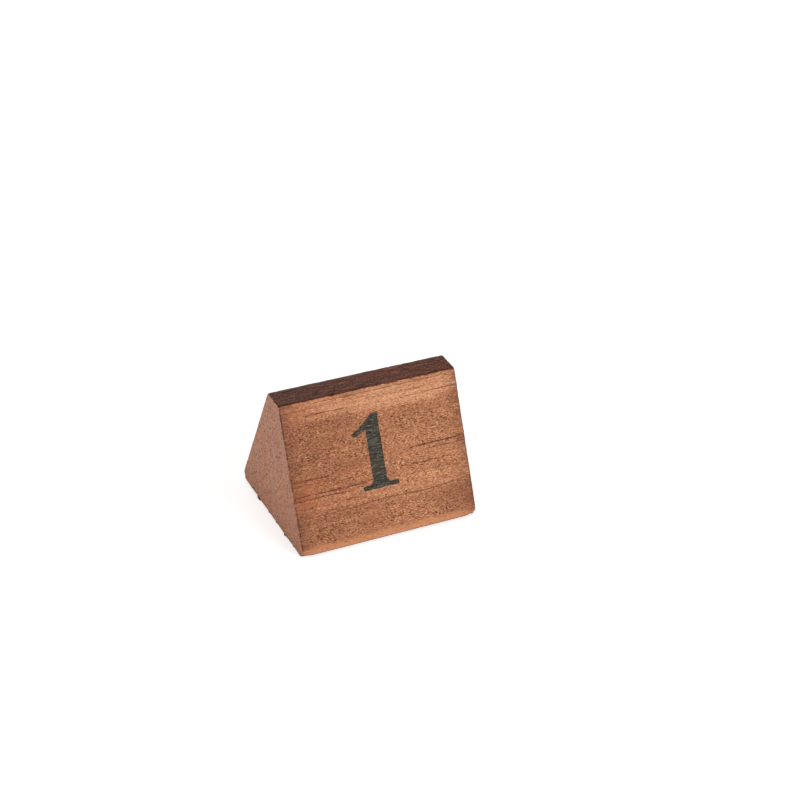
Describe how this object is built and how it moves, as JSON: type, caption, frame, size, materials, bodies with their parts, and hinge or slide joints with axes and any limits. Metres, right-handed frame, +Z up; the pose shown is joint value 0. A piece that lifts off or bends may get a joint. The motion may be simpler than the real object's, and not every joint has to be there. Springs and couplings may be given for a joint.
{
  "type": "numbered wooden table block",
  "caption": "Solid wooden block with sloping front and rear faces and a narrow flat top, printed with a numeral on each sloping face; stands on a table to number it.",
  "frame": {"origin": "centre of the base, on the surface that the block stands on", "axes": "+X along the block and its grain, to the reader's right; +Y from the front sloping face to the rear one; +Z up"},
  "size_m": [0.068, 0.055, 0.05],
  "materials": {
    "timber": "oiled, lightly sanded, open-pored reddish-brown hardwood",
    "print": "matt dark grey-green printing ink soaked into the grain"
  },
  "bodies": {
    "root": {"wood_block": "timber", "front_numeral": "print", "rear_numeral": "print"}
  },
  "joints": []
}
